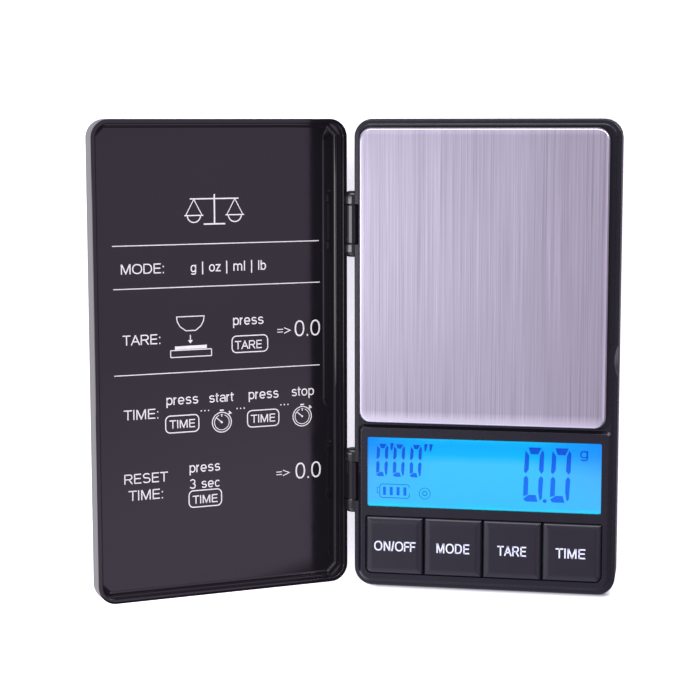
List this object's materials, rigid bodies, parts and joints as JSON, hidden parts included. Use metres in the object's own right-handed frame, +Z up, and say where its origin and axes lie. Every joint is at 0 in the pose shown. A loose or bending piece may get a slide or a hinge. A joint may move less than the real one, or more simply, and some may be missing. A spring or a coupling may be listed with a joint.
{
  "type": "digital gram scale",
  "caption": "Slim pocket gram scale with steel weighing platform, blue backlit display, row of keys and a hinged full-size cover.",
  "frame": {"origin": "bottom centre of the bounding box with the cover open at its rest angle, on the table plane", "axes": "+Z up out of the weighing platform, +Y towards the platform end, -Y towards the keys, -X towards the open cover"},
  "size_m": [0.1398, 0.1308, 0.0494],
  "materials": {
    "case_plastic": "fine satin black",
    "key_plastic": "satin black",
    "lid_plastic": "high gloss black",
    "brushed_steel": "brushed lengthways",
    "zinc_steel": "zinc plated",
    "spring_steel": "nickel plated",
    "aluminium": "milled",
    "rubber": "matte",
    "silicone": "translucent white",
    "window": "clear polished",
    "lcd": "blue backlit",
    "diffuser": "frosted",
    "circuit_board": "solder mask",
    "black_epoxy": "moulded",
    "battery_jacket": "printed sleeve",
    "wire_red": "smooth jacket",
    "wire_black": "smooth jacket",
    "wire_green": "smooth jacket",
    "wire_white": "smooth jacket"
  },
  "bodies": {
    "case": {"lower_housing": "case_plastic", "upper_housing": "case_plastic", "foot_1": "rubber", "foot_2": "rubber", "foot_3": "rubber", "foot_4": "rubber", "case_screw_1": "zinc_steel", "case_screw_2": "zinc_steel", "case_screw_3": "zinc_steel", "case_screw_4": "zinc_steel", "hinge_pin_1": "zinc_steel", "hinge_pin_2": "zinc_steel", "load_cell": "aluminium", "gauge_sealant": "silicone", "load_cell_screw_1": "zinc_steel", "load_cell_screw_2": "zinc_steel", "display_window": "window", "lcd_glass": "lcd", "lcd_backlight": "diffuser", "lcd_frame": "case_plastic", "zebra_strip": "rubber", "circuit_board": "circuit_board", "controller_chip": "black_epoxy", "switch_on_off": "black_epoxy", "switch_mode": "black_epoxy", "switch_tare": "black_epoxy", "switch_time": "black_epoxy", "battery_1": "battery_jacket", "battery_2": "battery_jacket", "battery_contact_positive": "spring_steel", "battery_contact_negative": "spring_steel", "battery_bridge": "spring_steel", "battery_wire_red": "wire_red", "battery_wire_black": "wire_black", "load_cell_wire_red": "wire_red", "load_cell_wire_black": "wire_black", "load_cell_wire_green": "wire_green", "load_cell_wire_white": "wire_white"},
    "lid": {"lid_shell": "lid_plastic"},
    "platform": {"platform_tray": "brushed_steel", "platform_carrier": "case_plastic", "platform_screw_1": "zinc_steel", "platform_screw_2": "zinc_steel"},
    "key_on_off": {"key_on_off": "key_plastic", "plunger_on_off": "silicone"},
    "key_mode": {"key_mode": "key_plastic", "plunger_mode": "silicone"},
    "key_tare": {"key_tare": "key_plastic", "plunger_tare": "silicone"},
    "key_time": {"key_time": "key_plastic", "plunger_time": "silicone"},
    "battery_door": {"battery_door": "case_plastic"}
  },
  "joints": [
    {"name": "lid_hinge", "type": "hinge", "parent": "case", "child": "lid", "pos_m": [-0.00383, 0, 0.0109], "axis": [0, -1, 0], "range_deg": [-146.4, 33.6]},
    {"name": "platform_travel", "type": "slide", "parent": "case", "child": "platform", "axis": [0, 0, -1], "range_m": [0, 0.0004], "stiffness_N_per_m": 12000, "deforming": ["load_cell"]},
    {"name": "press_on_off", "type": "slide", "parent": "case", "child": "key_on_off", "axis": [0, 0, -1], "range_m": [0, 0.0005], "stiffness_N_per_m": 2000},
    {"name": "press_mode", "type": "slide", "parent": "case", "child": "key_mode", "axis": [0, 0, -1], "range_m": [0, 0.0005], "stiffness_N_per_m": 2000},
    {"name": "press_tare", "type": "slide", "parent": "case", "child": "key_tare", "axis": [0, 0, -1], "range_m": [0, 0.0005], "stiffness_N_per_m": 2000},
    {"name": "press_time", "type": "slide", "parent": "case", "child": "key_time", "axis": [0, 0, -1], "range_m": [0, 0.0005], "stiffness_N_per_m": 2000},
    {"name": "battery_door_slide", "type": "slide", "parent": "case", "child": "battery_door", "axis": [0, 1, 0], "range_m": [0, 0.028]}
  ]
}
